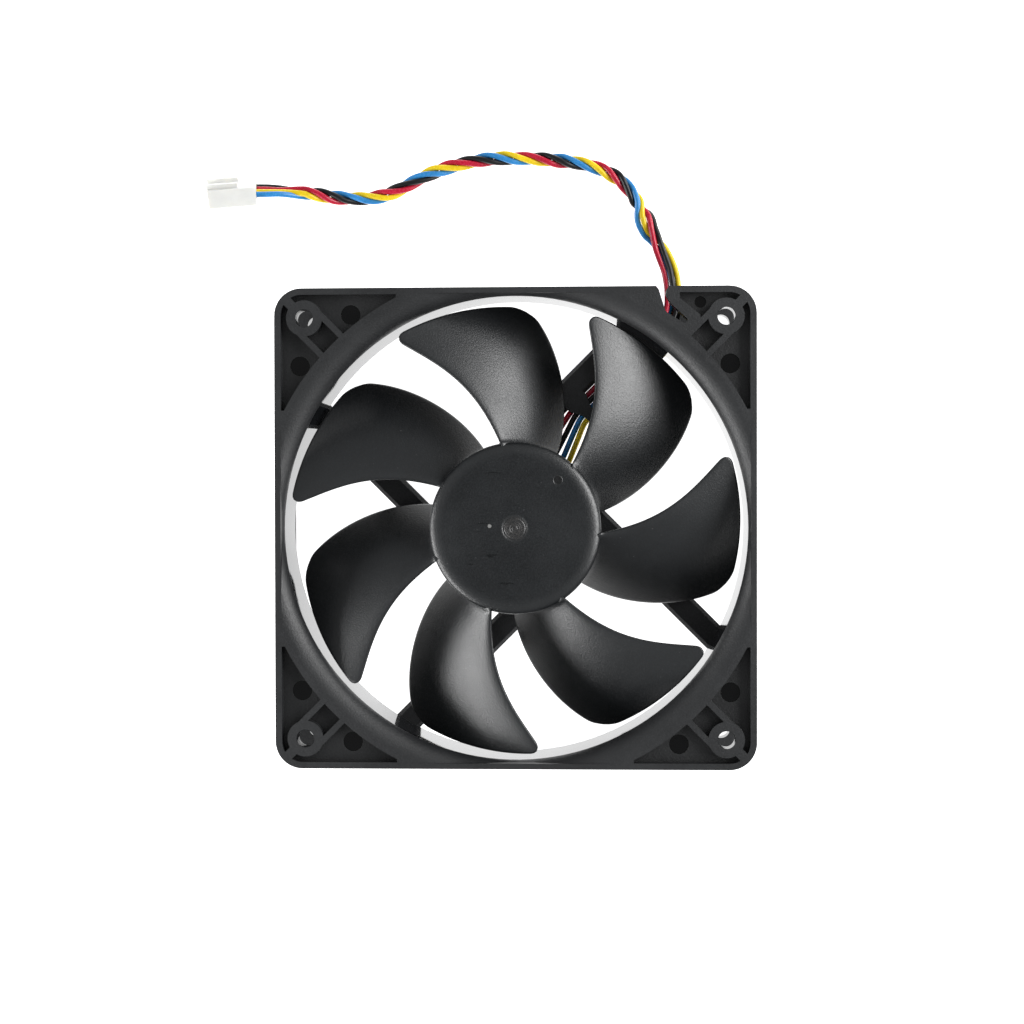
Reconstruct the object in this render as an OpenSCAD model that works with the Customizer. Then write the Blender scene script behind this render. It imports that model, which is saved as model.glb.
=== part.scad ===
// 120 mm axial case fan with four struts, seven forward-swept blades,
// a brushless outer-rotor motor and a four-wire lead with its plug.
// Lies on its rear (strut) side: z = 0 is the rear mounting face,
// z = frame_t the front (intake) face. Millimetres, +Z up.

/* [Frame] */
// Side of the square frame
frame_w = 120; // [119.8:0.1:120.4]
// Depth from rear face to front face
frame_t = 25; // [25:0.1:25.4]
// Distance between neighbouring mounting holes
hole_pitch = 105; // [104.8:0.1:105.2]
// Diameter of the mounting holes
hole_d = 4.4; // [4.2:0.1:4.6]
// Thickness of the front and rear flanges
flange_t = 4.5; // [4.3:0.1:4.8]
// Radius of the straight duct bore
duct_r = 58.2; // [58:0.1:58.4]
// Radius where the rounded inlet lip meets the front face
lip_r = 64; // [63.4:0.1:64.2]
// Depth of the weight-saving pockets in the flanges
pocket_d = 2.5; // [1.5:0.1:3]
// Width of one strut
strut_w = 6.6; // [6:0.1:7]
// Sideways offset of each strut's centreline from the fan axis
strut_off = 15.55; // [15.3:0.05:15.8]

/* [Impeller] */
// Number of blades
blade_n = 7; // [5:1:8]
// Radius of the blade tips
tip_r = 56.7; // [56:0.1:57.2]
// Outer radius of the hub
hub_r = 21.5; // [21.3:0.1:21.8]
// Height of the hub's front face
hub_top = 24.3; // [24:0.1:24.6]
// Thickness of a blade at its root
root_t = 2.2; // [1.8:0.1:2.6]
// Thickness of a blade at its tip
tip_t = 1.3; // [1:0.1:1.6]
// Bulge of the blade section towards the front (0 is flat)
camber = 0.34; // [0.1:0.02:0.45]

/* [Motor] */
// Radius of the shaft
shaft_r = 1.5; // [1.45:0.01:1.5]
// Radial running clearance between the shaft and the sleeve bearing
shaft_gap = 0.03; // [0.02:0.01:0.08]
// Outer radius of the motor base on the frame
base_r = 21; // [20.8:0.1:21.2]

/* [Lead] */
// Diameter of one insulated wire
wire_d = 1.5; // [1.3:0.05:1.5]
// Diameter of the twisted four-wire bundle
lead_d = 3.6; // [3.4:0.05:3.6]
// Width of the four-way plug housing
plug_w = 10.2; // [10:0.1:10.4]
// Thickness of the plug housing
plug_t = 4.8; // [4.6:0.1:5]
// Length of the plug housing
plug_l = 12.4; // [12:0.1:13]

/* [Hidden] */
$fn = 96;
eps = 0.01;
corner_r = 6.8;
rim_in = frame_w / 2 - 1.6;          // inner face of the pocket rim
lip_in = frame_w / 2 - 1.4;          // square that cuts the inlet lip
front_z = frame_t - flange_t;
hp = hole_pitch / 2;
boss_r = 4.5;
strip_w = 8.4;                       // diagonal strip under each boss
pocket_r = lip_r + 0.7;
rear_lip_r = 62.5;
duct_wall_r = frame_w / 2 - 0.1;
base_z0 = 0.4;
base_z1 = 2.6;
base_rim_z = 6;
hub_bottom = 7;
hub_wall_r = 19.75;
hub_ceiling = 22.5;
tube_ro = 4.5;
tube_ri = 3.5;
board_z = 4.8;
core_z0 = 9;
core_z1 = 15;
plug_roll = -64;
plug_pitch = 6;
plug_turn = 5;
plug_at = [-73.9, 87, 6.3];
pitch4 = 2.54;

// Free lead: from the duct wall over the rear flange's channel, down to the
// surface, round the fan's corner and along to the plug.
lead_route = [
  [36.2, 50.1, 2.65], [38.1, 52, 2.65], [39.5, 54.3, 2.65], [40.2, 57, 2.65],
  [40.3, 60, 2.65], [40.1, 63, 2.4], [39.4, 66.5, 2.1], [38, 70, 1.9], [36.3, 73.6, 1.9],
  [34.4, 77.4, 1.9], [32.6, 81.2, 1.9], [30.5, 85.3, 1.9], [27.6, 89.1, 1.9],
  [24, 91.7, 1.9], [19.6, 93.6, 1.9], [14.7, 94.7, 1.9], [9.7, 95.3, 1.9],
  [4.8, 95.7, 1.9], [-0.3, 95.9, 1.9], [-5.4, 95.9, 1.9], [-10.3, 95.4, 1.9],
  [-15.3, 94.4, 1.9], [-20.6, 92.9, 1.9], [-25.2, 91, 1.9], [-29.4, 88.8, 1.9],
  [-33.6, 86.9, 1.9], [-38.4, 85.9, 1.9], [-43.4, 85.8, 2.1], [-48.3, 86.1, 2.8],
  [-53.2, 86.8, 3.8], [-60.4, 87.4, 5], [-67.9, 87.55, 5.65]];

// Inner leads in the cable strut's own axes: [along the strut, across it, z].
// Each starts at its solder pad under the circuit board.
lead_ends = [
  [[12, 5.6, 3.65], [15.5, 7.6, 3.65], [19.5, 8.9, 3.6], [25, 10.1, 2.9], [30.6, 11.3, 2], [33, 11.4, 1.8], [39, 11.4, 1.8], [45, 11.4, 1.8], [51, 11.4, 1.8], [55, 11.4, 1.8], [58.4, 11.4, 1.8], [59.7, 11.4, 2], [61.1, 11, 2.6]],
  [[13.6, 3.4, 3.65], [17, 5.4, 3.65], [20.5, 6.5, 3.6], [25.5, 8.1, 3], [30.4, 9.7, 2.25], [33, 9.9, 2.2], [39, 9.9, 2.2], [45, 9.9, 2.2], [51, 9.9, 2.2], [55, 9.9, 2.2], [58.4, 9.9, 2.2], [61.1, 9.85, 3.7]],
  [[14.6, 1.2, 3.65], [17.8, 3.2, 3.65], [21.8, 4.7, 3.6], [26, 6.4, 2.9], [30.8, 8.2, 2], [33, 8.4, 1.8], [39, 8.4, 1.8], [45, 8.4, 1.8], [51, 8.4, 1.8], [55, 8.4, 1.8], [58.4, 8.4, 1.75], [59.2, 8.6, 1.6], [61.1, 9.8, 1.57]],
  [[15, -1.2, 3.65], [18.2, 1.2, 3.65], [22.2, 2.95, 3.6], [26.5, 4.8, 2.95], [30.8, 6.6, 2.25], [33.5, 6.9, 2.2], [39, 6.9, 2.2], [45, 6.9, 2.2], [51, 6.9, 2.2], [55, 6.9, 2.2], [58.4, 6.9, 2.3], [59.7, 7.4, 2.6], [61.1, 8.45, 2.8]]];

plastic = [0.17, 0.175, 0.185];

// ---------- helpers ----------

function unit(v) = v / norm(v);
function tangent(p, i) = unit(p[min(i + 1, len(p) - 1)] - p[max(i - 1, 0)]);

// One closed tube swept along the points p, n-sided, never vertical.
module sweep(p, r, n = 8) {
  m = len(p);
  pts = [for (i = [0 : m - 1])
    let (t = tangent(p, i), a = unit(cross(t, [0, 0, 1])), b = cross(a, t))
      for (j = [0 : n - 1]) p[i] + r * (cos(360 * j / n) * a + sin(360 * j / n) * b)];
  sides = [for (i = [0 : m - 2]) for (j = [0 : n - 1]) let (k = (j + 1) % n)
    each [[i * n + j, (i + 1) * n + j, i * n + k], [(i + 1) * n + j, (i + 1) * n + k, i * n + k]]];
  caps = [[for (j = [0 : n - 1]) j], [for (j = [n - 1 : -1 : 0]) (m - 1) * n + j]];
  polyhedron(points = pts, faces = concat(sides, caps), convexity = 8);
}

module rounded_plate(w, r, h) {
  k = w / 2 - r;
  union() {
    translate([-w / 2, -k, 0]) cube([w, 2 * k, h]);
    translate([-k, -w / 2, 0]) cube([2 * k, w, h]);
    for (x = [-k, k], y = [-k, k]) translate([x, y, 0]) cylinder(r = r, h = h);
  }
}

module ring(ro, ri, z0, z1) {
  translate([0, 0, z0]) difference() {
    cylinder(r = ro, h = z1 - z0);
    translate([0, 0, -1]) cylinder(r = ri, h = z1 - z0 + 2);
  }
}

// Air removed by a rounded lip: radius r0 at z0 opening to r1 at z1.
module lip_air(r0, r1, z0, z1, n = 10) {
  up = z1 > z0 ? 1 : -1;
  rotate_extrude($fn = 160) polygon(concat(
    [[0, z0]],
    [for (i = [0 : n]) let (a = 90 * i / n) [r1 - (r1 - r0) * cos(a), z0 + (z1 - z0) * sin(a)]],
    [[r1, z1 + up], [0, z1 + up]]));
}

// ---------- frame ----------

// One corner pocket above the diagonal, in the corner x > 0, y > 0.
module pocket_area(d) {
  difference() {
    intersection() {
      rounded_plate(2 * rim_in, corner_r - 1.6, d);
      translate([29.5, 0, -1]) cube([frame_w, frame_w, d + 2]);
    }
    translate([0, 0, -1]) cylinder(r = pocket_r, h = d + 2, $fn = 160);
    translate([hp, hp, -1]) cylinder(r = boss_r, h = d + 2);
    rotate(45) translate([0, -strip_w / 2, -1]) cube([hp * sqrt(2), strip_w, d + 2]);
    rotate(45) translate([0, -99, -1]) cube([120, 100.2, d + 2]);
  }
}

// The small window in the diagonal strip, inside the boss.
module strip_window(d) {
  difference() {
    rotate(45) translate([60, -2.7, 0]) cube([hp * sqrt(2) - 60, 5.4, d]);
    translate([0, 0, -1]) cylinder(r = pocket_r, h = d + 2, $fn = 160);
    translate([hp, hp, -1]) cylinder(r = boss_r, h = d + 2);
  }
}

module corner_pockets(d) {
  pocket_area(d);
  mirror([1, -1, 0]) pocket_area(d);
  strip_window(d);
}

// The corner beside the cable notch has a shorter upper pocket, from x0 on.
module notch_corner_pockets(d, x0) {
  difference() {
    pocket_area(d);
    translate([0, 0, -1]) linear_extrude(d + 2)
      polygon([[20, 40], [20, 62], [x0, 62], [x0, 57], [46.1, 52.8], [46.1, 40]]);
  }
  mirror([1, -1, 0]) pocket_area(d);
  strip_window(d);
}

// Hooked slot for the wires in the front flange.
module hook_slot() {
  linear_extrude(flange_t + 2)
    polygon([[34.9, 61], [35.2, 59.9], [35.8, 59.2], [37.4, 54], [37.9, 53.4], [42, 50.8], [42.5, 50.9], [43, 51.5], [42.8, 52], [39.1, 55.4], [38.5, 56.2], [37.6, 58], [37.7, 59], [38.3, 60.05], [38.3, 61]]);
}

module strut() {
  translate([8, strut_off, 0]) rotate([90, 0, 90]) linear_extrude(56)
    polygon([[-strut_w / 2, 0.6], [strut_w / 2, 0.6], [strut_w / 2, 2.9],
      [strut_w / 2 - 0.9, 3.8], [-strut_w / 2 + 0.9, 3.8], [-strut_w / 2, 2.9]]);
}

// Two tabs on the cable strut that hold the wires down.
module wire_hooks() {
  s = strut_off - strut_w / 2;
  translate([0, 0, 3]) linear_extrude(0.8)
    polygon([[30.6, s + 1], [36.8, s + 1], [36.8, s - 0.6], [35.4, 8.5], [35.2, 4.4], [32.8, 4.4], [32.2, 8.5], [30.6, s - 0.6]]);
  translate([32.8, 4.4, 1.4]) cube([2.4, 0.7, 2]);
  translate([53.4, 4.2, 3]) cube([5, s - 3.2, 0.8]);
}

module pins(z) {
  for (p = [[-53.9, 40.7], [-41.1, 53.5], [53.6, 40.9], [53.6, -40.9], [40.8, -53.9], [-53.6, -40.7], [-40.8, -53.5]])
    translate([p[0], p[1], z]) cylinder(r = 2.45, h = 0.3);
  translate([46.2, 56.2, z]) cylinder(r = 1.45, h = 0.3);
}

module frame() {
  color(plastic) difference() {
    union() {
      difference() {
        union() {
          rounded_plate(frame_w, corner_r, flange_t);
          translate([0, 0, front_z]) rounded_plate(frame_w, corner_r, flange_t);
          translate([0, 0, flange_t - 0.5]) cylinder(r = duct_wall_r, h = front_z - flange_t + 1, $fn = 160);
        }
        translate([0, 0, -1]) cylinder(r = duct_r, h = frame_t + 2, $fn = 160);
        intersection() {
          lip_air(duct_r, lip_r, front_z, frame_t);
          translate([-lip_in, -lip_in, front_z - 1]) cube([2 * lip_in, 2 * lip_in, flange_t + 3]);
        }
        intersection() {
          lip_air(duct_r, rear_lip_r, flange_t, 0);
          translate([-lip_in, -lip_in, -3]) cube([2 * lip_in, 2 * lip_in, flange_t + 4]);
        }
        // front pockets
        translate([0, 0, frame_t - pocket_d]) {
          notch_corner_pockets(pocket_d + 1, 41);
          for (a = [90, 180, 270]) rotate(a) corner_pockets(pocket_d + 1);
        }
        // rear pockets
        translate([0, 0, -1]) {
          notch_corner_pockets(pocket_d + 1, 43.5);
          for (a = [90, 180, 270]) rotate(a) corner_pockets(pocket_d + 1);
        }
        pins(frame_t - pocket_d - 0.25);
        translate([0, 0, front_z - 1]) hook_slot();
      }
      intersection() {
        for (a = [45, 135, 225, 315]) rotate(a) strut();
        cylinder(r = 63.2, h = 10, $fn = 160);
        translate([-lip_in - 0.5, -lip_in - 0.5, 0]) cube([2 * lip_in + 1, 2 * lip_in + 1, 10]);
      }
      rotate(45) wire_hooks();
      translate([0, 0, base_z0]) cylinder(r = base_r, h = base_z1 - base_z0);
      ring(base_r, base_r - 1.6, base_z1 - 0.2, base_rim_z);
      ring(7.2, 2, base_z1 - 0.2, board_z);
      ring(6, 2, board_z - 0.2, 6.6);
    }
    for (x = [-hp, hp], y = [-hp, hp]) translate([x, y, -1]) cylinder(d = hole_d, h = frame_t + 2);
    // seat of the bearing tube
    translate([0, 0, 1.6]) cylinder(r = tube_ro, h = 10);
    // label recess
    translate([0, 0, base_z0 - 1]) cylinder(r = 18.6, h = 1.3);
    // wire way out of the motor base
    rotate(63) translate([18, -5.4, base_z1]) cube([4, 10.4, 1.95]);
    // wire channel under the duct wall and across the rear flange
    rotate(45) translate([56.2, 5.2, 0.8]) cube([2.6, 7, 2.18]);
    rotate(45) translate([58.4, 5.2, 0.8]) cube([4.6, 7, flange_t - 0.75]);
    translate([0, 0, 0.8]) linear_extrude(flange_t - 0.75)
      polygon([[34, 51.5], [36.6, 54], [37.6, 57], [37.7, 61], [42.6, 61], [42.6, 56.5], [41.8, 53.4], [39.8, 50.2], [38, 48.4]]);
    // notch in the rear flange's edge where the wires leave
    translate([0, 0, -1]) linear_extrude(flange_t + 1.05)
      polygon([[36.3, 61], [36.3, 56.2], [36.9, 55.3], [38.3, 55.3], [39, 58], [42.6, 58], [42.6, 61]]);
  }
}

module rear_label() {
  color([0.78, 0.79, 0.8]) translate([0, 0, 0.5]) cylinder(r = 18.4, h = 0.2);
}

// ---------- bearing ----------

module bearing_tube() {
  color([0.72, 0.6, 0.32]) ring(tube_ro, tube_ri, 1.6, 18.2);
}

module sleeve_bearing() {
  color([0.62, 0.45, 0.25]) ring(tube_ri, shaft_r + shaft_gap, 5.2, 17);
}

module thrust_pad() {
  color([0.9, 0.88, 0.8]) translate([0, 0, 1.6]) cylinder(r = tube_ri, h = 0.6);
}

module oil_seal() {
  color([0.12, 0.12, 0.12]) ring(tube_ri, shaft_r + 0.08, 17, 17.7);
}

// ---------- stator ----------

// Hub ring, four teeth and four pole shoes.
module stator_shape(z0, z1, bore, hub, tooth, shoe_in, shoe_out, slot) {
  difference() {
    union() {
      translate([0, 0, z0]) cylinder(r = hub, h = z1 - z0);
      for (a = [0, 90]) rotate(a) translate([-shoe_out + 0.6, -tooth / 2, z0]) cube([2 * shoe_out - 1.2, tooth, z1 - z0]);
      difference() {
        ring(shoe_out, shoe_in, z0, z1);
        for (a = [45, 135]) rotate(a) translate([-30, -slot / 2, z0 - 1]) cube([60, slot, z1 - z0 + 2]);
      }
    }
    translate([0, 0, z0 - 1]) cylinder(r = bore, h = z1 - z0 + 2);
  }
}

module stator_core() {
  color([0.5, 0.51, 0.53]) stator_shape(core_z0, core_z1, tube_ro, 7.4, 4.6, 13.8, 16, 4);
}

module insulator() {
  stator_shape(core_z1, core_z1 + 0.8, tube_ro + 0.1, 7.6, 5.6, 13.6, 15.8, 4.6);
  ring(6.4, tube_ro + 0.1, core_z1 + 0.8, core_z1 + 2.2);
  difference() {
    ring(14.8, 13.9, core_z1 + 0.8, core_z1 + 2.6);
    for (a = [45, 135]) rotate(a) translate([-30, -2.3, core_z1]) cube([60, 4.6, 4]);
  }
}

module upper_insulator() {
  color([0.93, 0.93, 0.9]) insulator();
}

module lower_insulator() {
  color([0.93, 0.93, 0.9]) translate([0, 0, core_z0 + core_z1]) mirror([0, 0, 1]) insulator();
}

// Four coils, one round each tooth.
module windings() {
  color([0.72, 0.36, 0.16]) for (a = [0, 90, 180, 270]) rotate(a) translate([8.4, 0, 0]) difference() {
    translate([0, -4.7, 7]) cube([4.2, 9.4, 10]);
    translate([-1, -2.85, core_z0 - 0.85]) cube([7, 5.7, core_z1 - core_z0 + 1.7]);
  }
}

module winding_posts() {
  color([0.8, 0.8, 0.82]) for (a = [45, 135, 225, 315]) rotate(a) translate([10.6, 0, board_z - 0.9]) cylinder(r = 0.4, h = 5);
}

module circuit_board() {
  color([0.1, 0.36, 0.2]) difference() {
    ring(18.7, 6.2, board_z, board_z + 1.2);
    for (a = [45, 135, 225, 315]) rotate(a) translate([10.6, 0, board_z - 1]) cylinder(r = 0.5, h = 4);
  }
}

module driver_chip() {
  color([0.1, 0.1, 0.1]) translate([-2.5, -14.6, board_z - 1.5]) cube([5, 4, 1.45]);
  color([0.8, 0.8, 0.82]) for (x = [-1.9, -0.63, 0.63, 1.9], y = [-15.7, -10.6])
    translate([x - 0.2, y, board_z - 1]) cube([0.4, 1.1, 1]);
}

module hall_sensor() {
  color([0.1, 0.1, 0.1]) translate([-17.9, -2, board_z + 1.2]) cube([1.5, 4, 1.5]);
}

module board_components() {
  color([0.75, 0.68, 0.5]) for (p = [[-8, -12, 20], [-11.5, -8.5, 50], [9, -12, -30], [12.5, -7, 70], [-13.5, 4, 90]])
    translate([p[0], p[1], board_z - 0.9]) rotate(p[2]) translate([-1, -0.6, 0]) cube([2, 1.2, 0.9]);
}

// ---------- lead ----------

module lead_red() { color([0.75, 0.1, 0.16]) rotate(45) sweep(lead_ends[0], wire_d / 2); }
module lead_black() { color([0.06, 0.06, 0.07]) rotate(45) sweep(lead_ends[1], wire_d / 2); }
module lead_blue() { color([0.12, 0.4, 0.75]) rotate(45) sweep(lead_ends[2], wire_d / 2); }
module lead_yellow() { color([0.9, 0.75, 0.1]) rotate(45) sweep(lead_ends[3], wire_d / 2); }

module lead_bundle() { color([0.3, 0.3, 0.32]) sweep(lead_route, lead_d / 2); }

module plug_place() { translate(plug_at) rotate([0, 0, plug_turn]) rotate([0, plug_pitch, 0]) rotate([plug_roll, 0, 0]) children(); }

// Plug axes: x towards the wires, y the width, z out of the ribbed face.
module connector_housing() {
  color([0.95, 0.94, 0.9]) plug_place() difference() {
    union() {
      translate([-plug_l / 2, -plug_w / 2, -plug_t / 2]) cube([plug_l, plug_w, plug_t]);
      for (y = [-3.5, 1.8]) translate([-plug_l / 2 - 0.3, y, plug_t / 2 - 0.1]) cube([8.1, 1.3, 1.1]);
    }
    for (i = [-1.5 : 1 : 1.5]) translate([-plug_l, i * pitch4 - 0.95, -0.95]) cube([2 * plug_l, 1.9, 1.9]);
  }
}

module crimp_terminals() {
  color([0.8, 0.75, 0.6]) plug_place() for (i = [-1.5 : 1 : 1.5]) translate([0, i * pitch4, 0]) {
    difference() {
      translate([-plug_l / 2 + 0.6, -0.85, -0.85]) cube([7, 1.7, 1.7]);
      translate([-plug_l / 2 - 1, -0.5, -0.5]) cube([7, 1, 1]);
    }
    translate([-plug_l / 2 + 7.4, 0, 0]) rotate([0, 90, 0]) cylinder(r = 0.8, h = 3, $fn = 48);
  }
}

// ---------- rotor ----------

// Blade edges as angles (degrees, counter-clockwise) against the radius.
function lead_angle(r) = let (u = (r - 40) / 16) 8.7 + 11.5 * u + 1.4 * u * u - u * u * u - u * u * u * u;
function trail_angle(r) = let (u = (r - 40) / 16) -29.4 + 11.8 * u + 0.6 * u * u + 0.2 * u * u * u + 0.6 * u * u * u * u;
function lead_z(r) = 22.3 + 0.4 * (r - hub_r) / 35;
function trail_z(r) = 7.8 - 2 * (r - hub_r) / 35;
// Tip radius along the chord (0 leading, 1 trailing), both corners rounded.
function edge_r(s) = tip_r - 3.2 * (1 - sqrt(1 - pow(max(0, 1 - s / 0.09), 2)))
  - 3.8 * (1 - sqrt(1 - pow(max(0, (s - 0.87) / 0.13), 2)));
function blade_t(r, s) = (root_t + (tip_t - root_t) * (r - hub_r) / 35)
  * (0.4 + 0.6 * sqrt(1 - pow(1 - min(s, 0.12) / 0.12, 2))) * (1 - 0.55 * pow(max(0, (s - 0.5) / 0.5), 2));
function blade_point(s, f, side) =
  let (r = 20.6 + (edge_r(s) - 20.6) * f,
    a = lead_angle(r) + (trail_angle(r) - lead_angle(r)) * s,
    z = lead_z(r) + (trail_z(r) - lead_z(r)) * (s - camber * s * (1 - s)))
  [r * cos(a), r * sin(a), z + side * 0.6 * blade_t(r, s)];

module blade() {
  ss = [0, 0.02, 0.05, 0.09, 0.2, 0.34, 0.48, 0.62, 0.76, 0.87, 0.93, 0.97, 1];
  ff = [0, 0.2, 0.4, 0.6, 0.8, 0.92, 1];
  m = len(ss); n = len(ff);
  top = [for (i = [0 : m - 1]) for (j = [0 : n - 1]) blade_point(ss[i], ff[j], 1)];
  low = [for (i = [0 : m - 1]) for (j = [0 : n - 1]) blade_point(ss[i], ff[j], -1)];
  k = m * n;
  up = [for (i = [0 : m - 2]) for (j = [0 : n - 2]) let (a = i * n + j)
    each [[a, a + 1, a + n], [a + 1, a + n + 1, a + n]]];
  rim = concat([for (j = [0 : n - 1]) j], [for (i = [1 : m - 1]) i * n + n - 1],
    [for (j = [n - 2 : -1 : 0]) (m - 1) * n + j], [for (i = [m - 2 : -1 : 1]) i * n]);
  edge = [for (q = [0 : len(rim) - 1]) let (a = rim[q], b = rim[(q + 1) % len(rim)])
    each [[b, a, a + k], [b, a + k, b + k]]];
  polyhedron(points = concat(top, low),
    faces = concat(up, [for (t = up) [t[2] + k, t[1] + k, t[0] + k]], edge), convexity = 6);
}

module hub_shell() {
  e = hub_top - 1.8;
  difference() {
    rotate_extrude() polygon(concat(
      [[hub_wall_r, hub_bottom], [hub_r, hub_bottom]],
      [for (i = [0 : 6]) let (a = 15 * i) [hub_r - 3.8 + 3.8 * cos(a), e + 1.8 * sin(a)]],
      [[0, hub_top], [0, hub_ceiling], [hub_wall_r, hub_ceiling]]));
    ring(3.1, 2.5, hub_top - 0.2, hub_top + 1);
  }
}

module impeller() {
  color(plastic) union() {
    hub_shell();
    for (i = [0 : blade_n - 1]) rotate(i * 360 / blade_n) blade();
  }
}

module rotor_yoke() {
  color([0.6, 0.61, 0.63]) {
    ring(hub_wall_r, hub_wall_r - 1, 8, hub_ceiling - 1);
    ring(hub_wall_r, 3.6, hub_ceiling - 1, hub_ceiling);
  }
}

module ring_magnet() {
  color([0.22, 0.2, 0.19]) ring(hub_wall_r - 1, 16.6, 8, 19);
}

module shaft() {
  color([0.8, 0.81, 0.83]) difference() {
    translate([0, 0, 2.3]) cylinder(r = shaft_r, h = 20);
    ring(shaft_r + 1, 1.1, 3.6, 4);
  }
}

module shaft_bush() {
  color([0.75, 0.62, 0.3]) ring(3.6, shaft_r, 18.9, hub_ceiling);
}

module upper_washer() {
  color([0.92, 0.92, 0.88]) ring(3, shaft_r, 18.4, 18.9);
}

module lower_washer() {
  color([0.92, 0.92, 0.88]) ring(3, shaft_r, 4.05, 4.45);
}

module retaining_clip() {
  color([0.85, 0.85, 0.8]) difference() {
    ring(2.8, 1.1, 3.62, 3.98);
    translate([0, -0.9, 3]) cube([5, 1.8, 2]);
  }
}

frame();
rear_label();
bearing_tube();
sleeve_bearing();
thrust_pad();
oil_seal();
stator_core();
lower_insulator();
upper_insulator();
windings();
winding_posts();
circuit_board();
driver_chip();
hall_sensor();
board_components();
lead_red();
lead_black();
lead_blue();
lead_yellow();
lead_bundle();
connector_housing();
crimp_terminals();
impeller();
rotor_yoke();
ring_magnet();
shaft();
shaft_bush();
upper_washer();
lower_washer();
retaining_clip();
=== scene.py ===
import math

import bpy
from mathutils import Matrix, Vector


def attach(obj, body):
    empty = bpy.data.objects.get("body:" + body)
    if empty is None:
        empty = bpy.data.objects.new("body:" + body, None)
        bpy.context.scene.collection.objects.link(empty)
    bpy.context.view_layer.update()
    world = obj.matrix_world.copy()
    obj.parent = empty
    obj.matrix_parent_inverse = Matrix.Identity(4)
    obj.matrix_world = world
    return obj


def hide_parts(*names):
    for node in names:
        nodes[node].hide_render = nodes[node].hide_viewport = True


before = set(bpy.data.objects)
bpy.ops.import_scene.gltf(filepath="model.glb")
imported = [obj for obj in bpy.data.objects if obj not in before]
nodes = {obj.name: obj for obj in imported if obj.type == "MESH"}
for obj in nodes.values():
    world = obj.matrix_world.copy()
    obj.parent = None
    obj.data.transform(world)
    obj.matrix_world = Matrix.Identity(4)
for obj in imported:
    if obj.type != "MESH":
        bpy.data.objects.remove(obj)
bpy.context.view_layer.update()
scene = bpy.context.scene
MM = 0.001
PI = math.pi


# ---------------------------------------------------------------- camera
cam_data = bpy.data.cameras.new("camera")
cam_data.lens = 65.0
cam_data.sensor_width = 36.0
cam_data.clip_start = 0.01
cam_data.clip_end = 50.0
cam = bpy.data.objects.new("camera", cam_data)
scene.collection.objects.link(cam)
cam.location = (0.01978, 0.0099, 0.4841)
cam.rotation_euler = (math.radians(-0.728), math.radians(2.544), math.radians(-0.123))
scene.camera = cam


# ---------------------------------------------------------------- node helpers
def new_material(name):
    m = bpy.data.materials.new(name)
    m.use_nodes = True
    nt = m.node_tree
    bsdf = next(n for n in nt.nodes if n.type == "BSDF_PRINCIPLED")
    return m, nt, bsdf


def add(nt, kind, inputs=None, **props):
    n = nt.nodes.new(kind)
    for k, v in props.items():
        setattr(n, k, v)
    for k, v in (inputs or {}).items():
        n.inputs[k].default_value = v
    return n


def noise_node(nt, coords, scale, detail=3.0, rough=0.55, distortion=0.0):
    n = add(nt, "ShaderNodeTexNoise", {"Scale": scale, "Detail": detail, "Roughness": rough, "Distortion": distortion})
    nt.links.new(coords, n.inputs["Vector"])
    return n.outputs["Fac"]


def object_coords(nt):
    return add(nt, "ShaderNodeTexCoord").outputs["Object"]


def remap(nt, value, lo, hi, to_lo, to_hi, smooth=False):
    n = add(nt, "ShaderNodeMapRange", {"From Min": lo, "From Max": hi, "To Min": to_lo, "To Max": to_hi})
    n.interpolation_type = "SMOOTHSTEP" if smooth else "LINEAR"
    nt.links.new(value, n.inputs["Value"])
    return n.outputs["Result"]


def mix_colour(nt, fac, a, b):
    n = add(nt, "ShaderNodeMix", data_type="RGBA")
    if isinstance(fac, float):
        n.inputs[0].default_value = fac
    else:
        nt.links.new(fac, n.inputs[0])
    for socket, value in ((n.inputs[6], a), (n.inputs[7], b)):
        if isinstance(value, tuple):
            socket.default_value = (*value[:3], 1.0)
        else:
            nt.links.new(value, socket)
    return n.outputs[2]


def math_node(nt, op, a, b=None):
    n = add(nt, "ShaderNodeMath", operation=op)
    for i, v in enumerate((a, b)):
        if v is None:
            continue
        if isinstance(v, (int, float)):
            n.inputs[i].default_value = v
        else:
            nt.links.new(v, n.inputs[i])
    return n.outputs[0]


def bump(nt, bsdf, height, distance, strength=1.0, normal=None):
    n = add(nt, "ShaderNodeBump", {"Strength": strength, "Distance": distance})
    nt.links.new(height, n.inputs["Height"])
    if normal is not None:
        nt.links.new(normal, n.inputs["Normal"])
    nt.links.new(n.outputs["Normal"], bsdf.inputs["Normal"])
    return n.outputs["Normal"]


def scaled(colour, k):
    return tuple(min(1.0, c * k) for c in colour[:3])


# ---------------------------------------------------------------- materials
def blend_value(nt, fac, a, b):
    n = add(nt, "ShaderNodeMix", data_type="FLOAT")
    nt.links.new(fac, n.inputs[0])
    for socket, value in ((n.inputs[2], a), (n.inputs[3], b)):
        if isinstance(value, (int, float)):
            socket.default_value = value
        else:
            nt.links.new(value, socket)
    return n.outputs[0]


def split(nt, co):
    n = add(nt, "ShaderNodeSeparateXYZ")
    nt.links.new(co, n.inputs[0])
    return n.outputs[0], n.outputs[1], n.outputs[2]


def between(nt, value, low, high):
    return math_node(nt, "MULTIPLY", math_node(nt, "GREATER_THAN", value, low), math_node(nt, "LESS_THAN", value, high))


def distance2(nt, x, y, cx, cy):
    dx = math_node(nt, "SUBTRACT", x, cx)
    dy = math_node(nt, "SUBTRACT", y, cy)
    return math_node(nt, "ADD", math_node(nt, "MULTIPLY", dx, dx), math_node(nt, "MULTIPLY", dy, dy))


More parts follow.
